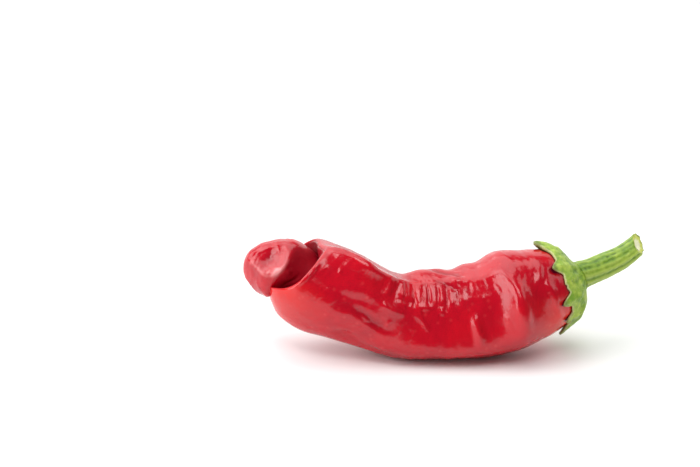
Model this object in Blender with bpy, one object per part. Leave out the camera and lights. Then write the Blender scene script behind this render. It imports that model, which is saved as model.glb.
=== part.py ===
"""Sweet pointed pepper, picked whole and lying on its belly.

The pod is one red fruit that bends upwards at both ends and folds across itself
just before its blunt tip. A green calyx caps its shoulder, and a cut stem
stands on the calyx. Metres, +Z up: the stem points along +X, the tip along -X
and the side that shows best faces -Y. The origin is on the surface that the
pepper lies on, under the middle of its bounding box.
"""

import math
from collections import namedtuple

import bmesh
import bpy
import numpy as np
from mathutils import Vector

MM = 0.001
SCALE = 1.0  # of the whole pepper; 1 gives about 140 mm from tip to stem end
MIDDLE = (1.4, 3.9, 0)  # of the bounding box among the points below, mm

# Mesh density.
POD_SIDES = 60
POD_RINGS = 78
CALYX_SIDES = 80
CALYX_RINGS = 6
STEM_SIDES = 28
STEM_RINGS = 16

GAP = 0.3  # between the pieces, mm

# A slice of the pod: its centre in mm, the way that the pod heads there (pitch
# above the horizon and yaw away from the front, degrees), and its radii in mm
# at eight turns of 45 degrees: front, front top, top, back top, back, back
# below, below, front below. From the shoulder under the calyx to the tip.
SLICES = [
    (45.8, 9.4, 24.4, -14, -19, 0, 0, 0, 0, 0, 0, 0, 0),
    (45.4, 9.3, 24.3, -14, -19, 6.0, 6.0, 6.0, 6.0, 6.0, 6.0, 6.0, 6.0),
    (44.3, 8.9, 23.9, -14, -19, 9.8, 9.8, 9.8, 9.8, 9.8, 9.8, 9.8, 9.8),
    (42.4, 8.2, 23.2, -13, -19, 12.2, 12.2, 12.2, 12.2, 12.2, 12.2, 12.2, 12.2),
    (39.6, 7.2, 22.4, -12, -19, 13.7, 13.9, 14.0, 13.9, 13.7, 13.7, 13.7, 13.7),
    (36.0, 6.0, 21.4, -11, -18, 14.8, 15.2, 15.4, 15.2, 15.0, 15.0, 15.0, 14.8),
    (31.7, 4.9, 20.4, -11, -16, 15.8, 16.2, 16.4, 16.3, 16.0, 16.2, 16.0, 15.8),
    (22.9, 2.7, 19.0, -10, -13, 16.6, 16.2, 17.6, 17.6, 17.0, 17.0, 17.2, 17.4),
    (14.1, 1.3, 16.8, -7, -9, 13.8, 13.8, 15.2, 16.2, 17.0, 18.2, 17.0, 16.4),
    (5.3, 0.5, 16.0, -2, -4, 12.2, 11.8, 13.6, 15.2, 16.8, 18.8, 16.3, 16.0),
    (-3.5, 0.0, 15.7, 2, 0, 11.4, 11.2, 13.2, 15.0, 16.6, 18.8, 16.1, 15.6),
    (-13.4, 0.2, 15.3, 10, 2, 12.0, 12.0, 12.8, 14.0, 15.6, 17.8, 15.8, 15.4),
    (-22.5, 0.8, 16.2, 25, 4, 12.8, 13.2, 14.2, 15.2, 15.2, 15.2, 14.4, 14.2),
    (-31.0, 2.2, 18.6, 35, 3, 13.8, 14.6, 15.4, 17.0, 16.2, 15.4, 15.6, 14.0),
    (-38.6, 4.6, 21.2, 42, -3, 15.2, 16.2, 16.4, 18.2, 17.0, 16.2, 17.5, 14.6),
    (-44.8, 7.0, 24.6, 46, -7, 16.8, 17.0, 15.8, 17.0, 16.8, 16.0, 17.2, 15.4),
    (-49.3, 8.2, 28.2, 47, -9, 17.0, 16.4, 13.6, 15.0, 15.0, 13.4, 14.4, 15.0),
    (-50.9, 8.4, 29.8, 47, -9, 16.2, 15.2, 11.6, 12.8, 12.8, 11.0, 11.6, 13.4),
    (-50.2, 8.3, 28.6, 47, -9, 12.6, 11.8, 9.8, 11.2, 11.2, 9.4, 9.8, 10.8),
    (-48.8, 8.2, 27.0, 46, -8, 9.4, 9.2, 8.6, 9.4, 9.0, 7.8, 8.2, 8.8),
    (-50.4, 8.0, 27.8, 40, -4, 8.9, 8.8, 9.2, 9.4, 8.6, 7.0, 7.4, 8.4),
    (-53.8, 8.2, 29.0, 26, 4, 10.2, 10.2, 10.2, 10.2, 9.2, 7.2, 8.6, 9.9),
    (-57.8, 8.8, 29.2, 14, 8, 10.5, 10.4, 10.5, 10.4, 10.0, 8.6, 10.4, 11.1),
    (-62.4, 9.7, 29.4, 9, 10, 9.0, 8.8, 9.0, 9.0, 8.8, 8.6, 9.4, 9.3),
    (-66.2, 10.7, 29.8, 8, 10, 6.4, 6.2, 6.4, 6.4, 6.2, 6.4, 6.8, 6.6),
    (-68.4, 11.1, 30.0, 8, 10, 3.4, 3.3, 3.4, 3.4, 3.3, 3.4, 3.6, 3.5),
    (-69.2, 11.2, 30.1, 8, 10, 0, 0, 0, 0, 0, 0, 0, 0),
]

# Swellings (+) and hollows (-): place along SLICES, turn in degrees, their
# reach along and round, and their height in mm.
Swelling = namedtuple("Swelling", "place turn along round height")
SWELLINGS = [
    Swelling(9.9, 112, 0.65, 24, 1.3),
    Swelling(8.5, 112, 0.5, 22, 1.2),
    Swelling(7.05, 8, 0.42, 44, 1.3),
    Swelling(7.95, 12, 0.5, 44, -0.9),
    Swelling(6.35, 14, 0.35, 30, -0.8),
    Swelling(5.9, -8, 0.45, 26, -0.9),
    Swelling(12.6, -40, 0.45, 11, -1.6),
    Swelling(11.7, -50, 0.7, 11, -0.9),
]

# Ridges (+) and furrows (-) that run along the pod: the sharp top edge of the
# front, a shallow furrow under it, and the fullness of the belly. At each place
# that they pass: turn in degrees, height in mm and reach round in degrees.
RIDGES = [
    [
        (6.8, 60, 0, 12), (7.5, 62, 0.5, 12), (8, 63, 0.8, 10), (9, 71, 0.8, 10),
        (10, 70, 0.8, 10), (11, 72, 1.1, 11), (12, 68, 2.6, 12), (13, 63, 5.0, 12),
        (14, 61, 7.2, 12), (15, 60, 7.4, 11), (16, 61, 5.6, 10), (17, 62, 2.6, 10),
        (18, 64, 0.6, 12), (19, 66, 0, 12),
    ],
    [
        (12, 24, 0, 13), (13, 24, -0.5, 13), (14, 24, -0.9, 13), (15, 24, -1.0, 13),
        (16, 24, -0.9, 13), (17, 24, -0.3, 13), (18, 24, 0, 13),
    ],
    [
        (4, -20, 0, 18), (5, -20, 0.4, 18), (6, -20, 1.6, 18), (7, -22, 2.4, 18),
        (8, -31, 3.0, 16), (9, -34, 3.0, 14), (10, -34, 2.3, 14), (11, -36, 1.4, 14),
        (12, -36, 0.2, 14), (13, -36, 0, 14),
    ],
]
CREST = 0.35  # how round a ridge's crest is, in reaches

# Where the folded tip lies over the lip, the lip dips back along the pod: at each
# place the depth in mm, and the turn of its middle and its reach round in degrees.
LIP_DIP = [(15, 0), (16, 1.6), (17, 5.4), (18, 5.4), (19, 4.0), (20, 2.0), (21, 0.6), (22, 0)]
LIP_DIP_TURN = 252
LIP_DIP_REACH = 52

# The calyx reaches to these places along SLICES between its teeth, and each
# tooth has a turn in degrees, a reach past that in slices and a half width.
SINUS_PLACE = 3.9
TEETH = [
    (97, 1.3, 22),
    (60, 0.8, 17),
    (24, 0.7, 17),
    (-12, 0.45, 17),
    (-44, 0.45, 16),
    (-84, 0.9, 20),
    (-132, 0.7, 22),
    (-178, 0.9, 22),
    (140, 0.8, 20),
]
CALYX_THICK = 1.2
STEM_FOOT = (49.3, 10.6, 25.5)  # the middle of the stem's foot
FOOT_PITCH = 19
FOOT_YAW = 22
FOOT_RADIUS = 5.7

# The stem above its foot: centre, pitch up, yaw away and radius.
STEM_SLICES = [
    (*STEM_FOOT, FOOT_PITCH, FOOT_YAW, 5.5),
    (50.6, 11.1, 25.9, 18, 22, 5.1),
    (53.4, 12.1, 26.6, 15, 21, 4.7),
    (57.0, 13.4, 27.3, 13, 20, 4.4),
    (60.6, 14.7, 28.3, 18, 19, 4.15),
    (63.7, 15.7, 29.5, 27, 18, 4.0),
    (66.9, 16.7, 31.6, 37, 17, 3.8),
    (69.3, 17.4, 33.6, 42, 16, 3.6),
    (70.7, 17.8, 35.0, 44, 16, 3.5),
]
STEM_RIBS = (62, 20, -22, -66, -115, 178, 118)
STEM_RIB_HEIGHT = 0.32
CUT_SLOPE = 0.5  # of the cut end, which faces more along +X than the stem does there


def smooth_through(rows, at):
    """Catmull-Rom curve through rows of values, read at places 0 to rows - 1."""
    rows = np.asarray(rows, float)
    last = len(rows) - 1
    rows = np.vstack([2 * rows[0] - rows[1], rows, 2 * rows[-1] - rows[-2]])
    i = np.clip(np.floor(at).astype(int), 0, last - 1)
    t = (at - i)[..., None]
    p0, p1, p2, p3 = rows[i], rows[i + 1], rows[i + 2], rows[i + 3]
    bend = (2 * p0 - 5 * p1 + 4 * p2 - p3) * t**2
    return 0.5 * (2 * p1 + (p2 - p0) * t + bend + (3 * p1 - p0 - 3 * p2 + p3) * t**3)


def round_through(eight, turn):
    """The radius at each turn in radians, smooth through the eight given there."""
    step = (turn / (math.pi / 4)) % 8
    i = np.floor(step).astype(int) % 8
    t = step - np.floor(step)
    near = [(i + k) % 8 for k in (-1, 0, 1, 2)]
    p0, p1, p2, p3 = (np.take_along_axis(eight, n[..., None], -1)[..., 0] for n in near)
    bend = (2 * p0 - 5 * p1 + 4 * p2 - p3) * t**2
    return 0.5 * (2 * p1 + (p2 - p0) * t + bend + (3 * p1 - p0 - 3 * p2 + p3) * t**3)


def headings(pitch, yaw, ahead):
    """Unit vectors of a slice: towards the front, up, and along. ahead is +1 or -1."""
    pitch, yaw = np.radians(pitch), np.radians(yaw)
    flat = np.cos(pitch)
    along = np.stack([ahead * flat * np.cos(yaw), flat * np.sin(yaw), np.sin(pitch)], -1)
    front = np.array([0.0, -1.0, 0.0]) + along * along[..., 1:2]
    front /= np.linalg.norm(front, axis=-1, keepdims=True)
    return front, -ahead * np.cross(along, front), along


def from_turn(turn, degrees):
    """How far each turn is from one in degrees, in radians either way."""
    return (turn - np.radians(degrees) + math.pi) % (2 * math.pi) - math.pi


def swelling_height(place, turn):
    total = np.zeros(place.shape)
    for s in SWELLINGS:
        away = from_turn(turn, s.turn) / math.radians(s.round)
        total += s.height * np.exp(-(((place - s.place) / s.along) ** 2) - away**2)
    return total


def ridge_height(place, turn):
    total = np.zeros(place.shape)
    for line in RIDGES:
        places = [row[0] for row in line]
        drawn = smooth_through(line, np.interp(place, places, np.arange(len(line))))
        away = from_turn(turn, drawn[..., 1]) / np.radians(drawn[..., 3])
        total += drawn[..., 2] * np.exp(CREST - np.hypot(away, CREST))
    return total


def pod_points(place, turn):
    """Points on the pod's skin in mm. place and turn are arrays of one shape."""
    row = smooth_through(SLICES, place)
    front, up, along = headings(row[..., 3], row[..., 4], -1)
    radius = np.maximum(round_through(row[..., 5:], turn), 0)
    relief = swelling_height(place, turn) + ridge_height(place, turn)
    radius = radius + np.clip(radius / 6, 0, 1) * relief
    points = row[..., :3] + (radius * np.cos(turn))[..., None] * front
    points = points + (radius * np.sin(turn))[..., None] * up
    places, depths = zip(*LIP_DIP)
    round_it = from_turn(turn, LIP_DIP_TURN) / math.radians(LIP_DIP_REACH)
    dip = np.interp(place, places, depths) * np.exp(-(round_it**2))
    points = points - dip[..., None] * along
    points[..., 2] = np.maximum(points[..., 2], 0)  # the belly's flat spot
    return points


def grid(rows, columns):
    """Rows from 0 to 1 and turns once round, as two arrays of one shape."""
    turns = np.linspace(0, 2 * math.pi, columns, endpoint=False)
    return np.meshgrid(np.linspace(0, 1, rows), turns, indexing="ij")


def calyx_rim(turn):
    """The place along SLICES where the calyx ends, at each turn."""
    reach = np.zeros(turn.shape)
    for degrees, long, half in TEETH:
        rise = np.clip(1 - np.abs(from_turn(turn, degrees)) / math.radians(half), 0, 1)
        reach = np.maximum(reach, long * rise**1.4)
    return SINUS_PLACE + reach


def skin_above(place, turn, height):
    """Points over the pod's skin by the given height."""
    small = 0.02
    here = pod_points(place, turn)
    along = pod_points(place + small, turn) - pod_points(np.maximum(place - small, 0), turn)
    round_it = pod_points(place, turn + small) - pod_points(place, turn - small)
    out = np.cross(round_it, along)
    out /= np.linalg.norm(out, axis=-1, keepdims=True)
    return here + np.asarray(height)[..., None] * out


def foot_ring(turn, radius, lift):
    """A ring about the stem's foot, that far above it."""
    front, up, along = headings(np.full(turn.shape, FOOT_PITCH), np.full(turn.shape, FOOT_YAW), 1)
    ring = np.asarray(STEM_FOOT) + lift * along
    return ring + radius * (np.cos(turn)[..., None] * front + np.sin(turn)[..., None] * up)


def calyx_points():
    """Rings from the middle under the calyx out to its rim, and back over it."""
    out, turn = grid(CALYX_RINGS, CALYX_SIDES)
    out = 0.06 + 0.94 * out
    place = out * calyx_rim(turn)
    under = skin_above(place, turn, np.full(out.shape, GAP))
    over = skin_above(place, turn, GAP + CALYX_THICK * (1 - 0.35 * out**4))
    hug = np.clip(out / 0.62, 0, 1)[..., None] ** 1.5
    over = hug * over + (1 - hug) * foot_ring(turn, FOOT_RADIUS, -0.2)
    middle_under = under[:1].mean(axis=1, keepdims=True).repeat(CALYX_SIDES, 1)
    foot = foot_ring(turn[:1], FOOT_RADIUS - 0.7, -0.2)
    middle_over = foot.mean(axis=1, keepdims=True).repeat(CALYX_SIDES, 1)
    return np.concatenate([middle_under, under, over[::-1], foot, middle_over])


def stem_points():
    """Rings from the stem's foot to its cut end, each closed by its middle."""
    along, turn = grid(STEM_RINGS, STEM_SIDES)
    row = smooth_through(STEM_SLICES, along * (len(STEM_SLICES) - 1))
    front, up, heading = headings(row[..., 3], row[..., 4], 1)
    ribs = sum(np.exp(-((from_turn(turn, d) / 0.26) ** 2)) for d in STEM_RIBS)
    radius = row[..., 5] - 0.15 + STEM_RIB_HEIGHT * (ribs - 0.4)
    points = row[..., :3] + (radius * np.cos(turn))[..., None] * front
    points = points + (radius * np.sin(turn))[..., None] * up
    points = points + GAP * heading * (1 - along[..., None])
    points = points + (CUT_SLOPE * along**5 * radius * np.sin(turn))[..., None] * heading
    foot = points[:1].mean(axis=1, keepdims=True).repeat(STEM_SIDES, 1)
    end = points[-1:].mean(axis=1, keepdims=True).repeat(STEM_SIDES, 1)
    return np.concatenate([foot, points, end])


def closed_loft(points):
    """Vertices and faces of a loft whose first and last rings are single points."""
    rings, sides = points.shape[:2]
    vertices = [points[0, 0], *points[1:-1].reshape(-1, 3), points[-1, 0]]
    last = len(vertices) - 1
    faces = []
    for j in range(sides):
        k = (j + 1) % sides
        faces.append((0, 1 + j, 1 + k))
        for i in range(rings - 3):
            a, b = 1 + i * sides, 1 + (i + 1) * sides
            faces.append((a + j, b + j, b + k, a + k))
        end = 1 + (rings - 3) * sides
        faces.append((end + k, end + j, last))
    return vertices, faces


def new_piece(name, points, colour, roughness):
    vertices, faces = closed_loft(points)
    mesh = bpy.data.meshes.new(name)
    middle = Vector(MIDDLE)
    mesh.from_pydata([(Vector(v) - middle) * MM * SCALE for v in vertices], [], faces)
    bm = bmesh.new()
    bm.from_mesh(mesh)
    bmesh.ops.recalc_face_normals(bm, faces=bm.faces)
    bm.to_mesh(mesh)
    bm.free()
    mesh.shade_smooth()
    mesh.set_sharp_from_angle(angle=math.radians(50))
    material = bpy.data.materials.new(name)
    material.use_nodes = True
    shader = material.node_tree.nodes["Principled BSDF"]
    shader.inputs["Base Color"].default_value = (*colour, 1)
    shader.inputs["Roughness"].default_value = roughness
    mesh.materials.append(material)
    return bpy.data.objects.new(name, mesh)


def main():
    for old in list(bpy.data.objects):
        bpy.data.objects.remove(old)
    collection = bpy.data.collections.new("sweet_pointed_pepper")
    bpy.context.scene.collection.children.link(collection)
    along, turn = grid(POD_RINGS, POD_SIDES)
    pod = new_piece("pod", pod_points(along * (len(SLICES) - 1), turn), (0.55, 0.01, 0.02), 0.25)
    calyx = new_piece("calyx", calyx_points(), (0.25, 0.42, 0.06), 0.5)
    stem = new_piece("stem", stem_points(), (0.25, 0.4, 0.05), 0.5)
    for piece in (pod, calyx, stem):
        collection.objects.link(piece)


main()
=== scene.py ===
# %% [markdown]
# # A sweet pointed pepper, grown from slices
#
# One long red pepper lies on its belly. Its tip is folded back against the
# body, a green calyx hugs its shoulder, and a cut stem rises from the calyx.
# The first cell loads the solid model that everything here has to fit. Its box
# is kept.

# %% Load the solid model
import math

import bpy
import numpy as np
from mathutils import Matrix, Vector


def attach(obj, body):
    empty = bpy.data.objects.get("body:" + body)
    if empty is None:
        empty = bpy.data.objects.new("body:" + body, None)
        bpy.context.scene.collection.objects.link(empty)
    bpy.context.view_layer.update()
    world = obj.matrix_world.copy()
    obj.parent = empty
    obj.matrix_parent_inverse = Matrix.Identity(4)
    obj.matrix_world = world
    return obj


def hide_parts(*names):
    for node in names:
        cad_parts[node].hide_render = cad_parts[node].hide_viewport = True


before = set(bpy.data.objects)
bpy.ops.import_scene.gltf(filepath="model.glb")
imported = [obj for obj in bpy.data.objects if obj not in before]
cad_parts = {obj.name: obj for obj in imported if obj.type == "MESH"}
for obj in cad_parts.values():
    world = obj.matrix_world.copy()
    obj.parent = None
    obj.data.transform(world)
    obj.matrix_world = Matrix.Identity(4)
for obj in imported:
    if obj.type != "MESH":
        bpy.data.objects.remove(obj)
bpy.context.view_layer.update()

# %% [markdown]
# ## Camera
#
# The pepper is seen from its front and from a little above, through a long
# lens, so there is hardly any perspective. The camera is placed 18 degrees above
# the horizon. Depth of field stays off, which keeps every part of the pepper
# sharp.

# %% Camera
CAMERA_PLACE = (-0.03306, -0.5437, 0.21996)
CAMERA_HEIGHT_DEGREES = 18
LENS_MM = 85

camera = bpy.data.objects.new("camera", bpy.data.cameras.new("camera"))
camera.data.lens = LENS_MM
camera.data.clip_start = 0.01
camera.location = CAMERA_PLACE
camera.rotation_euler = (math.radians(90 - CAMERA_HEIGHT_DEGREES), 0, 0)
bpy.context.scene.collection.objects.link(camera)
bpy.context.scene.camera = camera
print("camera at", tuple(camera.location))

# %% [markdown]
# ## Light
#
# A glossy skin shows its surroundings as much as its own colour, so the lights
# are the other half of the skin's look. A broad white panel overhead turns
# every surface that faces up pink, and a low one at the back lights the far
# edge. Two small bright panels, high at the front and low at the front left,
# give the broken highlights. Softer ones at the left and right light both ends.
# Nothing stands behind the camera, and that is why the front face stays a deep
# red. Each panel is an area light that mirrors in the skin and is left out of
# the camera's own view.

# %% Panels of light
scene = bpy.context.scene
scene.view_settings.view_transform = "Standard"
LIGHT_TARGET = Vector((0, 0, 0.02))
ROOM_LIGHT = 0.1


def panel(name, azimuth, elevation, away, size, brightness):
    """A soft box that faces the pepper.

    azimuth (from the front, to the right) and elevation are in degrees, how far
    away it stands and its size in metres.
    """
    light = bpy.data.lights.new(name, "AREA")
    light.shape = "RECTANGLE"
    light.size, light.size_y = size
    light.energy = brightness * math.pi * size[0] * size[1]
    body = bpy.data.objects.new(name, light)
    turn, rise = math.radians(azimuth), math.radians(elevation)
    towards = Vector((math.sin(turn) * math.cos(rise), -math.cos(turn) * math.cos(rise), math.sin(rise)))
    body.location = LIGHT_TARGET + away * towards
    body.rotation_euler = towards.to_track_quat("Z", "Y").to_euler()
    body.visible_camera = False
    scene.collection.objects.link(body)


panel("light_overhead", 236, 69, 1.0, (1.25, 1.3), 2.2)
panel("light_back", 180, 22, 1.6, (3.2, 1.2), 1.2)
panel("light_front_top", 5, 58, 0.9, (0.42, 0.36), 4.5)
panel("light_front_left", -60, 20, 0.9, (0.38, 0.7), 4.2)
panel("light_left", -85, 36, 1.1, (0.6, 0.85), 2.0)
panel("light_right", 102, 38, 1.0, (0.9, 0.6), 1.4)

world = bpy.data.worlds.new("room")
scene.world = world
world.use_nodes = True
room = world.node_tree.nodes["Background"]
room.inputs["Color"].default_value = (1, 1, 1, 1)
room.inputs["Strength"].default_value = ROOM_LIGHT

# %% [markdown]
# ## Floor
#
# A plain white table that runs on past the edge of the picture. It is the
# brightest thing round the pepper and its reflection is the pale band along
# the belly. It is matt, so that it mirrors nothing, and it needs no other detail.

# %% Floor
FLOOR_HALF = 3.0

floor_mesh = bpy.data.meshes.new("floor")
corners = [(-FLOOR_HALF, -FLOOR_HALF, 0), (FLOOR_HALF, -FLOOR_HALF, 0)]
corners += [(FLOOR_HALF, FLOOR_HALF, 0), (-FLOOR_HALF, FLOOR_HALF, 0)]
floor_mesh.from_pydata(corners, [], [(0, 1, 2, 3)])
floor = bpy.data.objects.new("floor", floor_mesh)
scene.collection.objects.link(floor)

floor_paint = bpy.data.materials.new("floor_white")
floor_paint.use_nodes = True
floor_shader = floor_paint.node_tree.nodes["Principled BSDF"]
floor_shader.inputs["Base Color"].default_value = (0.9, 0.9, 0.9, 1)
floor_shader.inputs["Roughness"].default_value = 0.6
floor_shader.inputs["Specular IOR Level"].default_value = 0.2
floor_mesh.materials.append(floor_paint)
print("floor", 2 * FLOOR_HALF, "m wide")

# %% [markdown]
# ## A smooth line through a few numbers
#
# A pepper has no straight edge and no true circle, so it is described as a
# sculptor would take its measure: slices across it, with eight radii each.
# Catmull-Rom curves run smoothly through the slices and round each one. Every
# number is then a length that can be held against the real fruit.

# %% Curves through slices and round them
def catmull_rom(p0, p1, p2, p3, t):
    """The curve between p1 and p2, where t runs from 0 to 1."""
    bend = (2 * p0 - 5 * p1 + 4 * p2 - p3) * t**2
    return 0.5 * (2 * p1 + (p2 - p0) * t + bend + (3 * p1 - p0 - 3 * p2 + p3) * t**3)


def smooth_through(rows, at):
    """A smooth curve through rows of values, read at places 0 to rows - 1."""
    rows = np.asarray(rows, float)
    last = len(rows) - 1
    rows = np.vstack([2 * rows[0] - rows[1], rows, 2 * rows[-1] - rows[-2]])
    i = np.clip(np.floor(at).astype(int), 0, last - 1)
    return catmull_rom(rows[i], rows[i + 1], rows[i + 2], rows[i + 3], (at - i)[..., None])


def round_through(eight, turn):
    """The radius at each turn in radians, smooth through the eight given there."""
    step = (turn / (math.pi / 4)) % 8
    i = np.floor(step).astype(int) % 8
    t = step - np.floor(step)
    near = [(i + k) % 8 for k in (-1, 0, 1, 2)]
    return catmull_rom(*(np.take_along_axis(eight, n[..., None], -1)[..., 0] for n in near), t)


def headings(pitch, yaw, ahead):
    """Unit vectors of a slice: towards the front, up, and along. ahead is +1 or -1."""
    pitch, yaw = np.radians(pitch), np.radians(yaw)
    flat = np.cos(pitch)
    along = np.stack([ahead * flat * np.cos(yaw), flat * np.sin(yaw), np.sin(pitch)], -1)
    front = np.array([0.0, -1.0, 0.0]) + along * along[..., 1:2]
    front /= np.linalg.norm(front, axis=-1, keepdims=True)
    return front, -ahead * np.cross(along, front), along


def from_turn(turn, degrees):
    """How far each turn is from one in degrees, in radians either way."""
    return (turn - np.radians(degrees) + math.pi) % (2 * math.pi) - math.pi


print("halfway between 1 and 3:", smooth_through([[1], [3]], np.array([0.5])))

# %% [markdown]
# ## The pod's slices
#
# The slices are those of the solid model, and only those of the fold, places 17
# to 22, differ from it, by up to 1.4 mm. Each has a centre, the way that the pod
# heads there, and eight radii. They run from the shoulder under the calyx at
# place 0 to the tip at place 26. Place 17 is the lip of the fold, 19 is the
# bottom of the crease behind it, and the folded tip grows out of that. Turn 0 is
# the front of a slice, and 90 degrees is its top.

# %% Slices
MIDDLE = (1.4, 3.9, 0)  # taken off every point, in mm, so that the box is centred
MM = 0.001

# Centre in mm, its pitch and yaw in degrees, and radii in mm each eighth of a turn.
SLICES = [
    (45.8, 9.4, 24.4, -14, -19, 0, 0, 0, 0, 0, 0, 0, 0),
    (45.4, 9.3, 24.3, -14, -19, 6.0, 6.0, 6.0, 6.0, 6.0, 6.0, 6.0, 6.0),
    (44.3, 8.9, 23.9, -14, -19, 9.8, 9.8, 9.8, 9.8, 9.8, 9.8, 9.8, 9.8),
    (42.4, 8.2, 23.2, -13, -19, 12.2, 12.2, 12.2, 12.2, 12.2, 12.2, 12.2, 12.2),
    (39.6, 7.2, 22.4, -12, -19, 13.7, 13.9, 14.0, 13.9, 13.7, 13.7, 13.7, 13.7),
    (36.0, 6.0, 21.4, -11, -18, 14.8, 15.2, 15.4, 15.2, 15.0, 15.0, 15.0, 14.8),
    (31.7, 4.9, 20.4, -11, -16, 15.8, 16.2, 16.4, 16.3, 16.0, 16.2, 16.0, 15.8),
    (22.9, 2.7, 19.0, -10, -13, 16.6, 16.2, 17.6, 17.6, 17.0, 17.0, 17.2, 17.4),
    (14.1, 1.3, 16.8, -7, -9, 13.8, 13.8, 15.2, 16.2, 17.0, 18.2, 17.0, 16.4),
    (5.3, 0.5, 16.0, -2, -4, 12.2, 11.8, 13.6, 15.2, 16.8, 18.8, 16.3, 16.0),
    (-3.5, 0.0, 15.7, 2, 0, 11.4, 11.2, 13.2, 15.0, 16.6, 18.8, 16.1, 15.6),
    (-13.4, 0.2, 15.3, 10, 2, 12.0, 12.0, 12.8, 14.0, 15.6, 17.8, 15.8, 15.4),
    (-22.5, 0.8, 16.2, 25, 4, 12.8, 13.2, 14.2, 15.2, 15.2, 15.2, 14.4, 14.2),
    (-31.0, 2.2, 18.6, 35, 3, 13.8, 14.6, 15.4, 17.0, 16.2, 15.4, 15.6, 14.0),
    (-38.6, 4.6, 21.2, 42, -3, 15.2, 16.2, 16.4, 18.2, 17.0, 16.2, 17.5, 14.6),
    (-44.8, 7.0, 24.6, 46, -7, 16.8, 17.0, 15.8, 17.0, 16.8, 16.0, 17.2, 15.4),
    (-49.3, 8.2, 28.2, 47, -9, 17.0, 16.4, 13.6, 15.0, 15.0, 13.4, 14.4, 15.0),
    (-50.9, 8.4, 29.8, 47, -9, 15.8, 15.2, 11.6, 12.8, 12.8, 11.0, 11.4, 12.8),
    (-50.0, 8.3, 28.2, 47, -9, 12.2, 11.4, 9.6, 11.2, 11.2, 9.4, 9.8, 10.8),
    (-48.0, 8.2, 26.0, 46, -8, 8.8, 8.6, 8.2, 9.4, 9.0, 7.8, 8.2, 8.6),
    (-50.2, 8.2, 28.0, 40, -4, 8.4, 8.4, 8.7, 9.2, 8.6, 6.8, 7.2, 8.0),
    (-54.2, 8.6, 30.4, 26, 4, 10.0, 9.7, 9.3, 9.5, 9.2, 6.6, 7.4, 9.4),
    (-57.8, 8.8, 29.8, 14, 8, 10.4, 10.1, 9.9, 10.0, 10.0, 8.2, 10.4, 11.1),
    (-62.4, 9.7, 29.4, 9, 10, 9.0, 8.8, 9.0, 9.0, 8.8, 8.6, 9.4, 9.3),
    (-66.2, 10.7, 29.8, 8, 10, 6.4, 6.2, 6.4, 6.4, 6.2, 6.4, 6.8, 6.6),
    (-68.4, 11.1, 30.0, 8, 10, 3.4, 3.3, 3.4, 3.4, 3.3, 3.4, 3.6, 3.5),
    (-69.2, 11.2, 30.1, 8, 10, 0, 0, 0, 0, 0, 0, 0, 0),
]
LAST_PLACE = len(SLICES) - 1
print(len(SLICES), "slices of the pod")

# %% [markdown]
# ## Swellings, edges and the folded tip
#
# Eight radii are too few for a sharp edge or a small swelling. Those are added
# to the radius as soft bumps, each at its own place and turn, so that they can be
# moved without touching the slices. The lip of the fold is drawn back or forward
# along the pod, because it is a wall and not a bump. The tip beyond it grew
# pressed against the pod, so its facets are pressed flat in the same way here. A
# sculpted mesh could have the same forms, but none of them could be measured.

# %% Swellings and hollows
# Place along the slices, turn in degrees, reach in places, reach round in degrees, and
# height in mm.
SWELLINGS = [
    (10.65, 112, 0.62, 24, 1.8),
    (9.75, 114, 0.4, 22, 0.7),
    (8.5, 112, 0.5, 22, 1.2),
    (7.0, 8, 0.37, 44, 1.4),
    (7.65, 12, 0.42, 44, -1.0),
    (6.35, 14, 0.35, 30, -0.8),
    (5.9, -8, 0.45, 26, -0.9),
    (12.6, -40, 0.45, 11, -1.6),
    (11.7, -50, 0.7, 11, -0.9),
]


def swelling_height(place, turn):
    """Height in mm of the swellings at each place and turn."""
    total = np.zeros(place.shape)
    for at, degrees, along, round_it, height in SWELLINGS:
        away = from_turn(turn, degrees) / math.radians(round_it)
        total += height * np.exp(-(((place - at) / along) ** 2) - away**2)
    return total


print(len(SWELLINGS), "swellings and hollows")

# %% Ridges and furrows along the pod
# Each is a line of places that it passes, with its turn in degrees, its height in
# mm (a furrow's is below zero) and its reach round in degrees.
TOP_EDGE = [
    (6.8, 60, 0, 12), (7.5, 62, 0.5, 12), (8, 63, 0.8, 10), (9, 71, 0.8, 10), (10, 70, 0.8, 10),
    (11, 72, 1.1, 11), (12, 68, 2.6, 12), (13, 63, 5.0, 12), (14, 61, 7.2, 12), (15, 60, 7.4, 11),
    (16, 61, 5.6, 10), (17, 62, 2.6, 10), (18, 64, 0.6, 12), (19, 66, 0, 12),
]
LEFT_FURROW = [
    (12, 24, 0, 13), (13, 25, -0.7, 13), (14, 25, -1.15, 13), (15, 24, -1.2, 13), (16, 24, -0.9, 13),
    (17, 24, -0.3, 13), (18, 24, 0, 13),
]
BELLY_EDGE = [
    (4, -20, 0, 18), (5, -20, 0.4, 18), (6, -20, 1.6, 18), (7, -22, 2.4, 18), (8, -31, 3.0, 16),
    (9, -34, 3.0, 14), (10, -34, 2.3, 14), (11, -36, 1.4, 14), (12, -36, 0.2, 14), (13, -36, 0, 14),
]
RIDGES = [TOP_EDGE, LEFT_FURROW, BELLY_EDGE]
CREST = 0.35  # how round a ridge's crest is, as a share of its reach


def ridge_height(place, turn):
    """Height in mm of the ridges at each place and turn."""
    total = np.zeros(place.shape)
    for line in RIDGES:
        places = [row[0] for row in line]
        drawn = smooth_through(line, np.interp(place, places, np.arange(len(line))))
        away = from_turn(turn, drawn[..., 1]) / np.radians(drawn[..., 3])
        total += drawn[..., 2] * np.exp(CREST - np.hypot(away, CREST))
    return total


print(len(RIDGES), "ridges and furrows")

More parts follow.
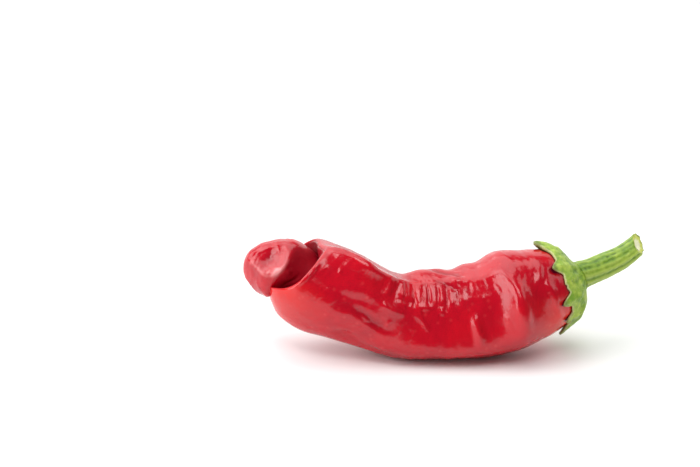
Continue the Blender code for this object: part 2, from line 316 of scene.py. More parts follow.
# %% Dips of the lip and the crease
# Where the folded tip lies over the lip, the lip dips back along the pod, in front
# of that it rises, and below the tip the crease is shallow. Each shift along the
# pod: its turn and its reach round in degrees, and its depth in mm at each place.
SHIFTS = [
    (234, 42, [(15, 0), (16, 0.8), (17, 2.4), (18, 1.8), (19, 1.4), (20, 0.5), (21, 0)]),
    (312, 34, [(15.5, 0), (16, -0.8), (17, -3.2), (18, -2.4), (19, -0.6), (20, 0)]),
    (290, 48, [(17.3, 0), (18, -1.2), (19, -3.2), (20, -1.4), (21, 0)]),
]


def shift_back(place, turn):
    """How far in mm the skin is moved back along the pod."""
    total = np.zeros(place.shape)
    for degrees, reach, depths in SHIFTS:
        away = from_turn(turn, degrees) / math.radians(reach)
        total += np.interp(place, *zip(*depths)) * np.exp(-(away**2))
    return total


print(len(SHIFTS), "shifts along the pod")

# %% Facets of the folded tip
# Two flat facets at the end of the tip meet in a ridge, and two more flatten its
# front and its right. Each facet: a point on it in mm, where it faces (degrees
# right of the front, degrees up), how soft its edge is in mm, and how much of what
# stands over it goes.
TIP_START = 19.6
TIP_FADE = 1.2
FACETS = [
    ((-66.5, 4.5, 32.3), -27, 42, 0.35, 1.15),
    ((-66.5, 4.5, 32.3), -50, -5, 0.4, 1.0),
    ((-61.1, -0.8, 29.8), -5, -4, 0.5, 0.9),
    ((-53.6, -1.2, 33.0), 42, 12, 0.7, 0.9),
]


def flatten(points, place):
    """The folded tip's points, pressed down to its facets."""
    tip = np.clip((place - TIP_START) / TIP_FADE, 0, 1)
    for middle, right, up, soft, share in FACETS:
        right, up = math.radians(right), math.radians(up)
        facing = np.array([math.sin(right) * math.cos(up), -math.cos(right) * math.cos(up), math.sin(up)])
        over = (points - np.array(middle)) @ facing
        pressed = tip * share * soft * np.logaddexp(0, over / soft)
        points = points - pressed[..., None] * facing
    return points


print(len(FACETS), "facets")

# %% Points on the skin
FULL_RELIEF_RADIUS = 6.0  # mm; where the pod is thinner than this, the relief fades


def pod_points(place, turn):
    """Points on the pod's skin in mm. place and turn are arrays of one shape."""
    row = smooth_through(SLICES, place)
    front, up, along = headings(row[..., 3], row[..., 4], -1)
    radius = np.maximum(round_through(row[..., 5:], turn), 0)
    relief = swelling_height(place, turn) + ridge_height(place, turn)
    radius = radius + np.clip(radius / FULL_RELIEF_RADIUS, 0, 1) * relief
    points = row[..., :3] + (radius * np.cos(turn))[..., None] * front
    points = points + (radius * np.sin(turn))[..., None] * up
    points = flatten(points - shift_back(place, turn)[..., None] * along, place)
    points[..., 2] = np.maximum(points[..., 2], 0)  # the belly's flat spot
    return points


print("a point on the lip:", pod_points(np.array([17.0]), np.array([0.0])).round(1), "mm")

# %% [markdown]
# ## A fine and even net
#
# The slices are far apart at the shoulder and close at the fold. The fine mesh
# has its rings set by the length of skin between them, so that the wrinkles
# get points enough wherever they are.

# %% The net of the skin
RINGS = 392
SIDES = 252
SAMPLES = 4000
LEAST_STEP = 0.004  # mm; keeps the rings in order where the skin hardly moves on


def even_places(count):
    """Places along the pod with about the same length of skin between each two."""
    place = np.linspace(0, LAST_PLACE, SAMPLES)
    turns = np.radians([0, 90, 180, 270])
    place_net, turn_net = np.meshgrid(place, turns, indexing="ij")
    points = pod_points(place_net, turn_net)
    steps = np.linalg.norm(np.diff(points, axis=0), axis=-1).mean(axis=1)
    travel = np.concatenate([[0], np.cumsum(steps + LEAST_STEP)])
    return np.interp(np.linspace(0, travel[-1], count), travel, place), travel, place


ring_places, travel, travel_place = even_places(RINGS)
ring_turns = np.linspace(0, 2 * math.pi, SIDES, endpoint=False)
PLACE, TURN = np.meshgrid(ring_places, ring_turns, indexing="ij")
skin = pod_points(PLACE, TURN)


def outward(points):
    """Unit normals of a net of rings, closed round and open along."""
    along = np.gradient(points, axis=0)
    round_it = np.roll(points, -1, axis=1) - np.roll(points, 1, axis=1)
    out = np.cross(round_it, along)
    return out / np.maximum(np.linalg.norm(out, axis=-1, keepdims=True), 1e-9)


skin_out = outward(skin)
print("net of", RINGS, "rings,", round(travel[-1]), "mm of skin from shoulder to tip")

# %% [markdown]
# ## Ridges and creases
#
# The folds, pinches and dimples of this pepper are drawn on the skin as lines.
# A line is a few points, each with its place, its turn in degrees and how high
# the ridge stands there in mm, or how deep the crease is where that is below
# zero. The skin rises over the line like a soft bump of the given width. Paint
# on a smooth pod would not do, because each fold also bends the highlights.

# %% Lines on the skin
STEPS_A_POINT = 14
WIDTHS_REACHED = 3
PLACES_REACHED = 1.5


def line_relief(line, width, sharp):
    """Height in mm that a line adds to each point of the net."""
    line = np.asarray(line, float)
    at = np.linspace(0, len(line) - 1, STEPS_A_POINT * len(line))
    drawn = smooth_through(line, at)
    path = pod_points(drawn[:, 0], np.radians(drawn[:, 1]))
    low, high = path.min(axis=0) - WIDTHS_REACHED * width, path.max(axis=0) + WIDTHS_REACHED * width
    near = ((skin > low) & (skin < high)).all(axis=-1)
    near &= PLACE > drawn[:, 0].min() - PLACES_REACHED
    near &= PLACE < drawn[:, 0].max() + PLACES_REACHED
    away = np.linalg.norm(skin[near][:, None] - path[None], axis=-1)
    nearest = away.argmin(axis=1)
    relief = np.zeros(PLACE.shape)
    bump = np.exp(-((away.min(axis=1) / width) ** sharp))
    relief[near] = drawn[nearest, 2] * bump
    return relief


def add_lines(lines):
    """Height in mm that several lines add together."""
    return sum(line_relief(points, width, sharp) for width, sharp, points in lines)


# %% Folds of the left face
# Each line: width in mm, sharpness, and points of (place, turn, height in mm).
LEFT_FACE = [
    # a thin edge along the lip
    (0.7, 1.6, [(16.7, -8, 0), (16.85, 8, 0.3), (17.0, 22, 0.35), (17.0, 45, 0.3), (16.9, 66, 0)]),
    # a thin line under the sharp top edge
    (0.9, 1.5, [(16.7, 56, 0), (15.8, 56, 0.3), (14.6, 56, 0.35), (13.4, 58, 0.3), (12.4, 62, 0)]),
    # the edge between the deep red face and the pale facet under it
    (2.6, 2.0, [(16.4, 2, 0), (15.8, 10, 0.1), (15, 19, 0.2), (14.4, 28, 0.4), (13.9, 34, 0.55),
                (13.1, 39, 0.6), (12.4, 36, 0.7), (11.9, 29, 0.6), (11.4, 23, 0.3), (10.9, 20, 0)]),
    # the pit and the furrow that runs down from it
    (1.9, 2.0, [(14.3, 8, 0), (14, 8, -0.2), (13.5, 11, -0.4), (13.1, 11, -0.5), (12.7, 8, -0.7),
                (12.3, 3, -0.8), (11.9, -3, -0.75), (11.5, -8, -0.4), (11.1, -10, 0)]),
    # short streaks over the face
    (0.5, 2.0, [(16.6, 0, 0), (16.6, 6, 0.25), (16.7, 12, 0)]),
    (0.45, 2.0, [(16.4, 8, 0), (16.5, 17, 0.28), (16.65, 26, 0)]),
    (0.45, 2.0, [(16.3, 20, 0), (16.5, 30, 0.28), (16.7, 40, 0)]),
    (0.5, 2.0, [(16.0, 24, 0), (15.9, 34, 0.25), (15.9, 44, 0)]),
    (0.55, 2.0, [(15.3, 48, 0), (15.1, 44, 0.28), (14.9, 40, 0)]),
    (0.55, 2.0, [(15.4, 50, 0), (15, 51, 0.25), (14.5, 52, 0.25), (14.1, 54, 0)]),
    (0.7, 2.0, [(12.7, 8, 0), (12.4, 2, 0.35), (12.1, -3, 0)]),
]
print(len(LEFT_FACE), "lines on the left face")

# %% Folds of the middle
MIDDLE_FOLDS = [
    # ridges that break the highlights of the front
    (1.1, 2.0, [(12.1, 32, 0), (11.8, 27, 0.45), (11.3, 21, 0.5), (10.9, 18, 0)]),
    (1.8, 2.0, [(11.35, 80, 0), (11.25, 66, 0.6), (11.2, 50, 0.85), (11.15, 36, 0.5), (11.1, 26, 0)]),
    (1.4, 2.0, [(12.2, 74, 0), (12.1, 62, 0.6), (12.05, 50, 0.7), (12.1, 40, 0)]),
    (1.0, 2.0, [(10.7, 22, 0), (10.55, 16, 0.35), (10.35, 7, 0.45), (10.2, -4, 0.4), (10.1, -12, 0)]),
    (0.5, 2.0, [(10.46, 25, 0.2), (10.42, 20, 0.35), (10.4, 15, 0.1)]),
    (1.2, 2.0, [(10.7, 30, 0), (10.3, 29, 0.4), (9.9, 31, 0)]),
    (0.8, 2.0, [(9.7, 30, 0), (9.66, 20, 0.5), (9.6, 12, 0)]),
    (1.5, 2.0, [(8.6, 14, 0), (8.5, 5, 0.7), (8.45, -6, 1.2), (8.4, -18, 1.3), (8.4, -34, 0)]),
    # creases between them
    (1.1, 2.0, [(11.5, 44, 0), (11.2, 42, -0.4), (10.8, 39, -0.4), (10.5, 36, 0)]),
    (0.45, 2.0, [(11.3, 74, 0), (11.15, 60, -0.3), (11.1, 44, -0.25), (11, 30, 0)]),
    (0.45, 2.0, [(10.85, 74, 0), (10.75, 60, -0.35), (10.7, 44, -0.3), (10.6, 26, 0)]),
    (0.5, 2.0, [(10.3, 74, 0), (10.2, 60, -0.4), (10.15, 44, -0.35), (10.1, 22, 0)]),
    (0.5, 2.0, [(9.9, 72, 0), (9.8, 58, -0.3), (9.8, 44, -0.3), (9.8, 26, 0)]),
    (0.5, 2.0, [(9.5, 70, 0), (9.45, 58, -0.3), (9.45, 40, -0.3), (9.5, 14, 0)]),
    (0.5, 2.0, [(9.05, 66, 0), (9.0, 54, -0.25), (9.0, 40, -0.2), (9, 28, 0)]),
    # low streaks above the belly and under the highlights
    (0.6, 2.0, [(11.6, -8, 0), (11.5, 0, 0.2), (11.4, 8, 0)]),
    (0.6, 2.0, [(10.8, -2, 0), (10.6, -8, 0.2), (10.6, -16, 0)]),
    (1.0, 2.0, [(9.3, 42, 0), (8.8, 39, 0.15), (8.2, 36, 0.15), (7.6, 34, 0)]),
    # the low crease between the two rear bulges, and the fold that ends it
    (0.8, 2.0, [(10.2, 112, 0), (9.78, 101, -0.6), (9.23, 92, -0.7), (8.83, 82, -0.5), (8.7, 74, 0)]),
    (0.7, 2.0, [(10, 80, 0), (9.72, 74, -0.4), (9.3, 64, -0.4), (9.0, 54, 0)]),
    (1.2, 2.0, [(9.4, 84, 0), (9.1, 76, 0.5), (8.8, 68, 0.4), (8.5, 62, 0)]),
]
print(len(MIDDLE_FOLDS), "lines on the middle")

# %% Folds of the shoulder
SHOULDER = [
    # the crest that the tall highlight ends at
    (2.6, 2.0, [(7.25, 66, 0), (7.1, 54, 0.4), (6.95, 32, 0.8), (6.9, 20, 1.1), (6.95, 10, 1.1),
                (6.95, -9, 0.9), (6.9, -24, 0)]),
    # fine lines that run up and to the right from it
    (0.7, 2.0, [(6.9, 22, 0), (6.8, 30, 0.1), (6.6, 42, 0.12), (6.5, 54, 0)]),
    (0.7, 2.0, [(6.75, 20, 0), (6.5, 32, 0.1), (6.3, 44, 0.12), (6.1, 58, 0)]),
    (0.7, 2.0, [(6.4, 22, 0), (6.1, 36, 0.12), (5.8, 48, 0.1), (5.5, 60, 0)]),
    (0.8, 2.0, [(6.0, 20, 0), (5.8, 34, -0.2), (5.5, 46, -0.2), (5.2, 58, 0)]),
    # a low ridge and a dent before the calyx
    (1.3, 2.0, [(5.7, 34, 0), (5.45, 18, 0.6), (5.35, -6, 0.6), (5.0, -24, 0.3), (4.9, -34, 0)]),
    (1.0, 2.0, [(4.8, 44, -0.5), (4.62, 41, -0.6), (4.5, 38, -0.3)]),
    # two streaks in the hollow before the shoulder
    (0.7, 2.0, [(7.6, 50, 0), (7.5, 40, 0.25), (7.45, 30, 0)]),
    (0.8, 2.0, [(7.5, 8, 0), (7.45, -2, 0.25), (7.4, -14, 0)]),
]
print(len(SHOULDER), "lines on the shoulder")

# %% Folds of the tip
TIP_FOLDS = [
    # the dimple in the upper facet
    (2.0, 2.0, [(22.75, 36, -0.6), (22.6, 42, -0.8), (22.5, 49, -0.6)]),
    # the two bright ridges of the V
    (0.6, 1.8, [(24.1, 24, 0), (23.9, 24, 0.15), (23.2, 14, 0.2), (22.6, 2, 0.2), (22.4, -4, 0.1)]),
    (0.8, 1.8, [(22.1, -4, 0), (21.7, -1, 0.15), (21.35, 4, 0.25), (21.13, 14, 0.3), (21.1, 30, 0.25),
                (21.3, 46, 0.1), (21.5, 56, 0)]),
    # a fold line over the top and the scar beside it
    (0.6, 2.0, [(23.8, 48, 0), (23.58, 53, 0.2), (22.98, 62, 0.22), (22.34, 69, 0.2), (21.8, 74, 0)]),
    (0.8, 2.0, [(24.0, 46, -0.2), (23.93, 51, -0.3), (23.8, 55, -0.2)]),
    (0.6, 2.0, [(24.3, 56, 0), (24.35, 46, 0.2), (24.2, 36, 0.2), (24.0, 34, 0)]),
    # a short ridge below the V's right end, and one on the crown
    (0.9, 2.0, [(20.8, 12, 0), (20.67, 6, 0.4), (20.7, 0, 0)]),
    (0.6, 2.0, [(22.6, 76, 0), (22.2, 80, 0.3), (21.6, 84, 0)]),
    # the root of the tip, full below the V and down into the crease
    (2.4, 2.0, [(22.4, -58, 0), (21.9, -58, 1.0), (21.3, -56, 2.0), (20.8, -50, 2.4), (20.5, -46, 1.6)]),
    # wrinkles at the foot of the tip, in the crease
    (0.5, 2.0, [(20.5, -40, 0), (20.3, -20, -0.4), (20.1, 0, -0.4), (20.1, 20, 0)]),
    (1.0, 2.0, [(23.2, -18, 0), (22.9, -30, 0.3), (22.6, -44, 0)]),
]
print(len(TIP_FOLDS), "lines on the tip")

# %% Folds of the sides that the photograph does not show
FAR_SIDE = [
    (1.4, 2.0, [(12.5, 120, 0), (12, 150, -0.6), (11.8, 180, -0.5), (11.9, 205, 0)]),
    (1.2, 2.0, [(10, 140, 0), (9.8, 165, -0.5), (9.9, 190, -0.6), (10.1, 215, 0)]),
    (1.5, 2.0, [(8.4, 125, 0), (8.2, 150, -0.6), (8.3, 180, -0.4), (8.2, 200, 0)]),
    (2.0, 2.0, [(7, 110, 0), (6.8, 140, 0.6), (6.9, 170, 0.7), (7, 200, 0)]),
    (1.6, 2.0, [(14.5, 110, 0), (13.6, 125, -0.6), (12.4, 130, -0.6), (11.2, 132, 0)]),
    (1.4, 2.0, [(16.2, 150, 0), (15.2, 175, 0.6), (14.8, 200, 0.5), (14.6, 220, 0)]),
    (1.2, 2.0, [(23.8, 150, 0), (22.8, 165, -0.5), (22, 180, -0.4), (21.6, 190, 0)]),
    (1.0, 2.0, [(24.2, 250, 0), (23.2, 240, 0.4), (22.2, 236, 0.4), (21.6, 230, 0)]),
]

FOLDS = LEFT_FACE + MIDDLE_FOLDS + SHOULDER + TIP_FOLDS + FAR_SIDE
relief = add_lines(FOLDS)
print(len(FOLDS), "ridges and creases from", round(relief.min(), 2), "to", round(relief.max(), 2), "mm")

# %% [markdown]
# ## Wrinkles
#
# Wrinkles run round the pod, where it bent as it grew. They come from a smooth
# random height that changes fast along the pod and slowly round it. Lower and
# wider lumps keep the rest of the skin from looking turned on a lathe. The
# random draw is seeded, so the pepper is the same each time.

# %% Smooth random heights
LATTICE = 32


def soft_noise(at, seed):
    """Smooth random values from -1 to 1, changing over about one unit of at."""
    lattice = np.random.default_rng(seed).uniform(-1, 1, (LATTICE, LATTICE, LATTICE))
    low = np.floor(at).astype(int)
    t = at - low
    t = t * t * (3 - 2 * t)
    total = np.zeros(at.shape[:-1])
    for corner in np.ndindex(2, 2, 2):
        i, j, k = np.moveaxis((low + corner) % LATTICE, -1, 0)
        weight = np.prod(np.where(corner, t, 1 - t), axis=-1)
        total += weight * lattice[i, j, k]
    return total


def bump_at(values, middle, reach):
    """1 at the middle and falling to 0 over the reach."""
    return np.exp(-(((values - middle) / reach) ** 4))


def turned_noise(along, girth, turn, seed):
    """Smooth random values that change along and round. A larger girth is finer round."""
    return soft_noise(np.stack([along, girth * np.cos(turn), girth * np.sin(turn)], -1), seed)


def ring_noise(girth, turn, seed):
    """Smooth random values that change round a ring only."""
    return soft_noise(np.stack([girth * np.cos(turn), girth * np.sin(turn), 0 * turn], -1), seed)


# %% Wrinkles round the pod and lumps in the skin
POD_RADIUS = 15.0  # all in mm
LEAN = 1.5  # how far a wrinkle wanders along the pod on its way round
WRINKLE_LENGTH, WRINKLE_BREADTH = 2.1, 8.0
FINE_LENGTH, FINE_BREADTH = 0.9, 4.0
LUMP_SIZE, SMALL_LUMP_SIZE = 8.0, 2.6

travelled = np.interp(PLACE, travel_place, travel)
leaning = travelled + LEAN * np.sin(TURN * 2)
wrinkles = turned_noise(leaning / WRINKLE_LENGTH, POD_RADIUS / WRINKLE_BREADTH, TURN, 3)
fine_wrinkles = turned_noise(leaning / FINE_LENGTH, POD_RADIUS / FINE_BREADTH, TURN, 8)
lumps = soft_noise(skin / LUMP_SIZE, 5)
small_lumps = soft_noise(skin / SMALL_LUMP_SIZE, 11)
print("wrinkles from", round(wrinkles.min(), 2), "to", round(wrinkles.max(), 2), "before scaling")

# %% How strong they are in each part
WRINKLE_HEIGHT, FINE_HEIGHT = 0.17, 0.05  # mm
LUMP_HEIGHT, SMALL_LUMP_HEIGHT = 0.16, 0.05
LEAST_WRINKLED, LEAST_FINE = 0.16, 0.6  # shares that the whole pod has
CALM_NEAR_END = 6.0  # mm from the very end of the tip

# Each part by the place of its middle and its reach. The waist is wrinkled most
# on its upper front, and the left face is the calmest skin of all.
waist = bump_at(PLACE, 10, 1.9) * (0.25 + bump_at(from_turn(TURN, 52), 0, math.radians(34)))
shoulder = 0.35 * bump_at(PLACE, 6, 1.2)
tip = 0.45 * bump_at(PLACE, 22.5, 2.2)
left_face = bump_at(PLACE, 15.4, 1.6) * bump_at(from_turn(TURN, 34), 0, math.radians(34))
lumpy = LUMP_HEIGHT * lumps + SMALL_LUMP_HEIGHT * small_lumps * (1 + 4 * tip)

height = relief + WRINKLE_HEIGHT * wrinkles * (LEAST_WRINKLED + waist + shoulder)
height += FINE_HEIGHT * fine_wrinkles * (LEAST_FINE + waist + shoulder + 2.5 * tip)
height += lumpy * (1 - 0.75 * left_face)
height *= np.clip(np.linalg.norm(skin - skin[-1, 0], axis=-1) / CALM_NEAR_END, 0.3, 1)
print("skin moved from", round(height.min(), 2), "to", round(height.max(), 2), "mm")

# %% [markdown]
# ## The pod
#
# One closed net of four-sided faces, with a fan of triangles at each end. Each
# of its points also keeps a few values for the paint: how deep it lies in a
# crease, for a painted shade there, whether it is in the fold, for a painted
# shade inside it, where painted light from the floor falls on the low skin, and
# where a sharp ridge gets a painted highlight. Values kept on the points follow
# the shape by themselves, which a picture laid over the pod would not.

# %% Build a closed net
def closed_net(points):
    """Vertices and faces of rings whose first and last ring are single points."""
    rings, sides = points.shape[:2]
    vertices = np.concatenate([points[:1, 0], points[1:-1].reshape(-1, 3), points[-1:, 0]])
    index = 1 + np.arange((rings - 2) * sides).reshape(rings - 2, sides)
    beside = np.roll(index, -1, axis=1)
    quads = np.stack([index[:-1], index[1:], beside[1:], beside[:-1]], -1).reshape(-1, 4)
    last = len(vertices) - 1
    start = [(0, a, b) for a, b in zip(index[0].tolist(), beside[0].tolist())]
    end = [(b, a, last) for a, b in zip(index[-1].tolist(), beside[-1].tolist())]
    return vertices, start + quads.tolist() + end


def new_piece(name, node, points):
    """A piece of the pepper as a smooth mesh, from points in mm, for a solid node."""
    vertices, faces = closed_net((points - np.array(MIDDLE)) * MM)
    mesh = bpy.data.meshes.new(name)
    mesh.from_pydata(vertices.tolist(), [], faces)
    mesh.shade_smooth()
    piece = bpy.data.objects.new(name, mesh)
    scene.collection.objects.link(piece)
    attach(piece, "root")
    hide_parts(node)
    print(name, "has", len(mesh.polygons), "faces")
    return piece


def store(piece, name, values):
    """Keeps one value a point of the net, for the paint to read."""
    flat = np.concatenate([values[:1, 0], values[1:-1].reshape(-1), values[-1:, 0]])
    layer = piece.data.attributes.new(name, "FLOAT", "POINT")
    layer.data.foreach_set("value", flat.astype(np.float32))


# %% Ridges with a painted highlight
# Written as the folds are, but with how strong the painted highlight is in place of the height.
RIDGE_HIGHLIGHTS = [
    # the V on the tip, and two short marks inside it
    (0.8, 1.4, [(24.1, 26, 0), (23.9, 24, 1), (23.6, 19, 0.6), (23.2, 14, 0.5), (22.6, 2, 0.9),
                (22.3, -4, 0.5), (21.9, -3, 0.9), (21.5, 2, 1), (21.2, 12, 0.6), (21.1, 28, 0.3),
                (21.2, 40, 0)]),
    (0.5, 1.4, [(22.3, -4, 0.8), (22.3, 6, 0.7), (22.2, 16, 0)]),
    (1.0, 1.4, [(21.9, 2, 0), (21.7, 10, 0.8), (21.7, 18, 0)]),
    # the edge of the lip
    (0.35, 1.6, [(16.9, 4, 0), (17.05, 18, 0.6), (17.1, 34, 0.6), (17.05, 50, 0.5), (16.95, 68, 0)]),
]
# each ridge's painted highlight is made uneven by the small lumps and fine wrinkles
uneven_highlight = 0.8 + 0.7 * small_lumps + 0.3 * fine_wrinkles
ridge_highlight = add_lines(RIDGE_HIGHLIGHTS) * uneven_highlight
print(len(RIDGE_HIGHLIGHTS), "rubbed ridges, the palest at", round(ridge_highlight.max(), 2))

# %% The pod's mesh
dressed = skin + height[..., None] * skin_out
dressed[..., 2] = np.maximum(dressed[..., 2], 0)  # the belly rests on the table
pod = new_piece("pod_skin", "pod", dressed)


# %% Values for the pod's paint
def from_to(values, start, end):
    """0 before the start, 1 after the end, and a straight rise between them."""
    return np.clip((values - start) / (end - start), 0, 1)


# the painted shade is darkest in a crease this deep
FULL_CREASE = 0.9  # mm deep, where the crease is darkest

# painted light from the white floor, on the low skin of the left end and the shoulder
floor_light = from_to(PLACE, 13.5, 16.5) * from_to(PLACE, 17.3, 16.7)  # the left end, up to the lip
floor_light = np.maximum(floor_light, bump_at(PLACE, 5.0, 1.4))  # the shoulder
floor_light = floor_light * from_to(np.degrees(from_turn(TURN, 0)), 16, -14)  # low down only
# painted shade inside the fold; its faces also get the dull paint
in_fold = from_to(PLACE, 17.15, 17.5) * from_to(PLACE, 21.7, 20.7)
crown = bump_at(from_turn(TURN, 110), 0, math.radians(40))  # the tip's top is in the open
# the tip's open top gets no painted shade
in_fold *= 1 - crown * from_to(PLACE, 20.2, 20.7)
# values for painted shade in creases and the fold, painted floor light and painted ridge highlights
store(pod, "crease_shade", np.clip(-height / FULL_CREASE, 0, 1))
store(pod, "fold", in_fold)
store(pod, "floor_light", floor_light)
store(pod, "ridge_highlight", np.clip(ridge_highlight, 0, 1))
print("values on the pod:", [a.name for a in pod.data.attributes if a.data_type == "FLOAT"])

# %% [markdown]
# ## Shared paint
#
# Skin, calyx and stem are all plant tissue, so their paints share three node
# groups. One mixes two colours in soft patches, one lays a third colour by a
# depth value, which gives the painted shade in creases, grooves and the fold and
# under the calyx's rim, and also the calyx's dark specks and the stem's lighter
# ribs, and one gives a fine grain that bends the light. Each paint sets its own
# values, and the shader itself stays in the paint.

# %% Small helpers for node trees
def feed(tree, socket, value):
    """Sets an input to a value, or links another node's output to it."""
    if isinstance(value, bpy.types.NodeSocket):
        tree.links.new(value, socket)
    else:
        socket.default_value = value


def feed_all(tree, node, inputs):
    """Feeds inputs by name, where _ stands for a space."""
    for name, value in inputs.items():
        feed(tree, node.inputs[name.replace("_", " ")], value)


def add(tree, kind, **inputs):
    """A new node whose inputs are given by name, as a value or as another socket."""
    new = tree.nodes.new(kind)
    feed_all(tree, new, inputs)
    return new


def reckon(tree, operation, first, second, clamp=False):
    """Two values multiplied, subtracted and so on."""
    new = tree.nodes.new("ShaderNodeMath")
    new.operation = operation
    new.use_clamp = clamp
    feed(tree, new.inputs[0], first)
    feed(tree, new.inputs[1], second)
    return new.outputs[0]


def new_group(name, takes, gives):
    """An empty node group with named sockets. takes: (name, kind, value) rows."""
    tree = bpy.data.node_groups.new(name, "ShaderNodeTree")
    for label, kind, value in takes:
        socket = tree.interface.new_socket(label, in_out="INPUT", socket_type="NodeSocket" + kind)
        socket.default_value = value
    for label, kind in gives:
        tree.interface.new_socket(label, in_out="OUTPUT", socket_type="NodeSocket" + kind)
    return tree, tree.nodes.new("NodeGroupInput").outputs, tree.nodes.new("NodeGroupOutput").inputs


def place_group(tree, group, **inputs):
    """One of the groups below, placed in a tree with its own values."""
    new = tree.nodes.new("ShaderNodeGroup")
    new.node_tree = group
    feed_all(tree, new, inputs)
    return new.outputs


def blend(tree, share, first, second):
    """The first colour where share is 0 and the second where it is 1."""
    mix = tree.nodes.new("ShaderNodeMix")
    mix.data_type = "RGBA"  # its colour sockets are inputs 6 and 7 and output 2
    feed(tree, mix.inputs[0], share)
    feed(tree, mix.inputs[6], first)
    feed(tree, mix.inputs[7], second)
    return mix.outputs[2]


def spread(tree, value, low, high, new_low=0.0, new_high=1.0):
    """Stretches a value from one range to another, and stops at its ends."""
    return add(tree, "ShaderNodeMapRange", Value=value, From_Min=low, From_Max=high,
               To_Min=new_low, To_Max=new_high).outputs[0]


# %% Group: soft patches of two colours
patches, takes, gives = new_group(
    "soft_patches",
    [("Colour", "Color", (1, 0, 0, 1)), ("Patch colour", "Color", (1, 1, 1, 1)),
     ("Patches per metre", "Float", 100.0), ("Least", "Float", 0.4), ("Most", "Float", 0.7)],
    [("Colour", "Color"), ("Mask", "Float")])
where = add(patches, "ShaderNodeTexCoord").outputs["Object"]
cloud = add(patches, "ShaderNodeTexNoise", Vector=where, Scale=takes["Patches per metre"],
            Detail=5.0, Roughness=0.6)
mask = spread(patches, cloud.outputs[0], takes["Least"], takes["Most"])
patches.links.new(blend(patches, mask, takes["Colour"], takes["Patch colour"]), gives["Colour"])
patches.links.new(mask, gives["Mask"])

# %% Group: another colour by depth, for painted shade, specks and ribs
hollows, takes, gives = new_group(
    "depth_colour",
    [("Colour", "Color", (1, 0, 0, 1)), ("Hollow colour", "Color", (0, 0, 0, 1)),
     ("Depth", "Float", 0.0), ("Strength", "Float", 1.0)],
    [("Colour", "Color")])
share = reckon(hollows, "MULTIPLY", takes["Depth"], takes["Strength"], clamp=True)
hollows.links.new(blend(hollows, share, takes["Colour"], takes["Hollow colour"]), gives["Colour"])

# %% Group: fine grain
grain, takes, gives = new_group(
    "fine_grain",
    [("Grains per metre", "Float", 900.0), ("Pores per metre", "Float", 500.0),
     ("Pore depth", "Float", 0.3)],
    [("Height", "Float"), ("Pores", "Float")])
where = add(grain, "ShaderNodeTexCoord").outputs["Object"]
rough = add(grain, "ShaderNodeTexNoise", Vector=where, Scale=takes["Grains per metre"],
            Detail=4.0, Roughness=0.55)
cells = add(grain, "ShaderNodeTexVoronoi", Vector=where, Scale=takes["Pores per metre"])
pores = spread(grain, cells.outputs["Distance"], 0.22, 0.06)
dip = reckon(grain, "MULTIPLY", pores, takes["Pore depth"])
grain.links.new(reckon(grain, "SUBTRACT", rough.outputs[0], dip), gives["Height"])
grain.links.new(pores, gives["Pores"])
print("node groups:", [g.name for g in bpy.data.node_groups])


# %% Start a paint
def new_paint(name, piece, roughness, bump_mm):
    """A material on the piece, with its shader and a bump node ready to be fed."""
    paint = bpy.data.materials.new(name)
    paint.use_nodes = True
    tree = paint.node_tree
    shader = tree.nodes["Principled BSDF"]
    shader.inputs["Roughness"].default_value = roughness
    bump = add(tree, "ShaderNodeBump", Strength=1.0, Distance=bump_mm * MM)
    tree.links.new(bump.outputs[0], shader.inputs["Normal"])
    piece.data.materials.append(paint)
    return tree, shader, bump


def mottle(tree, first, second, per_metre, least, most):
    """Soft patches of the second colour in the first."""
    return place_group(tree, patches, Colour=first, Patch_colour=second, Patches_per_metre=per_metre,
                       Least=least, Most=most)["Colour"]


def tint(tree, colour, depth_colour, depth, strength):
    """Another colour where the depth is above 0."""
    return place_group(tree, hollows, Colour=colour, Hollow_colour=depth_colour, Depth=depth,
                       Strength=strength)["Colour"]


def finish_paint(tree, shader, bump, colour, height):
    """Links the colour and the grain's height to the shader."""
    tree.links.new(colour, shader.inputs["Base Color"])
    tree.links.new(height, bump.inputs["Height"])


def kept(tree, name):
    """The value that each point of the piece keeps under that name."""
    reader = tree.nodes.new("ShaderNodeAttribute")
    reader.attribute_name = name
    return reader.outputs["Fac"]


# %% [markdown]
# ## Skin of the pod
#
# The skin is waxy and mirrors the room, and the flesh under it is a deep red.
# Some patches are a little lighter and a few tiny pores are paler. Creases and
# the inside of the fold get a painted maroon shade, the low skin of the left end
# and the shoulder a painted orange light from the floor, and the sharp ridges a
# painted pale highlight. Under the calyx's rim and just past it, a painted shadow
# makes the red nearly purple.
# Inside the fold, where the two walls rub, the skin is dull. That is a second
# paint on those faces, because a shader has one strength of mirror only.

# %% Pepper skin
SKIN_RED = (0.45, 0.001, 0.012, 1)
SKIN_LIGHTER = (0.53, 0.002, 0.012, 1)
# painted light from the floor
SKIN_FLOOR_LIGHT = (0.68, 0.014, 0.012, 1)
# painted shade for the creases and the fold
SKIN_SHADE_MAROON = (0.16, 0.0, 0.008, 1)
# painted shadow under and just past the calyx's rim
SKIN_RIM_SHADOW = (0.06, 0.002, 0.015, 1)
SKIN_PALE = (0.72, 0.06, 0.06, 1)
# painted highlight for the sharp ridges
SKIN_HIGHLIGHT = (0.86, 0.34, 0.34, 1)
SKIN_BUMP = 0.12  # mm


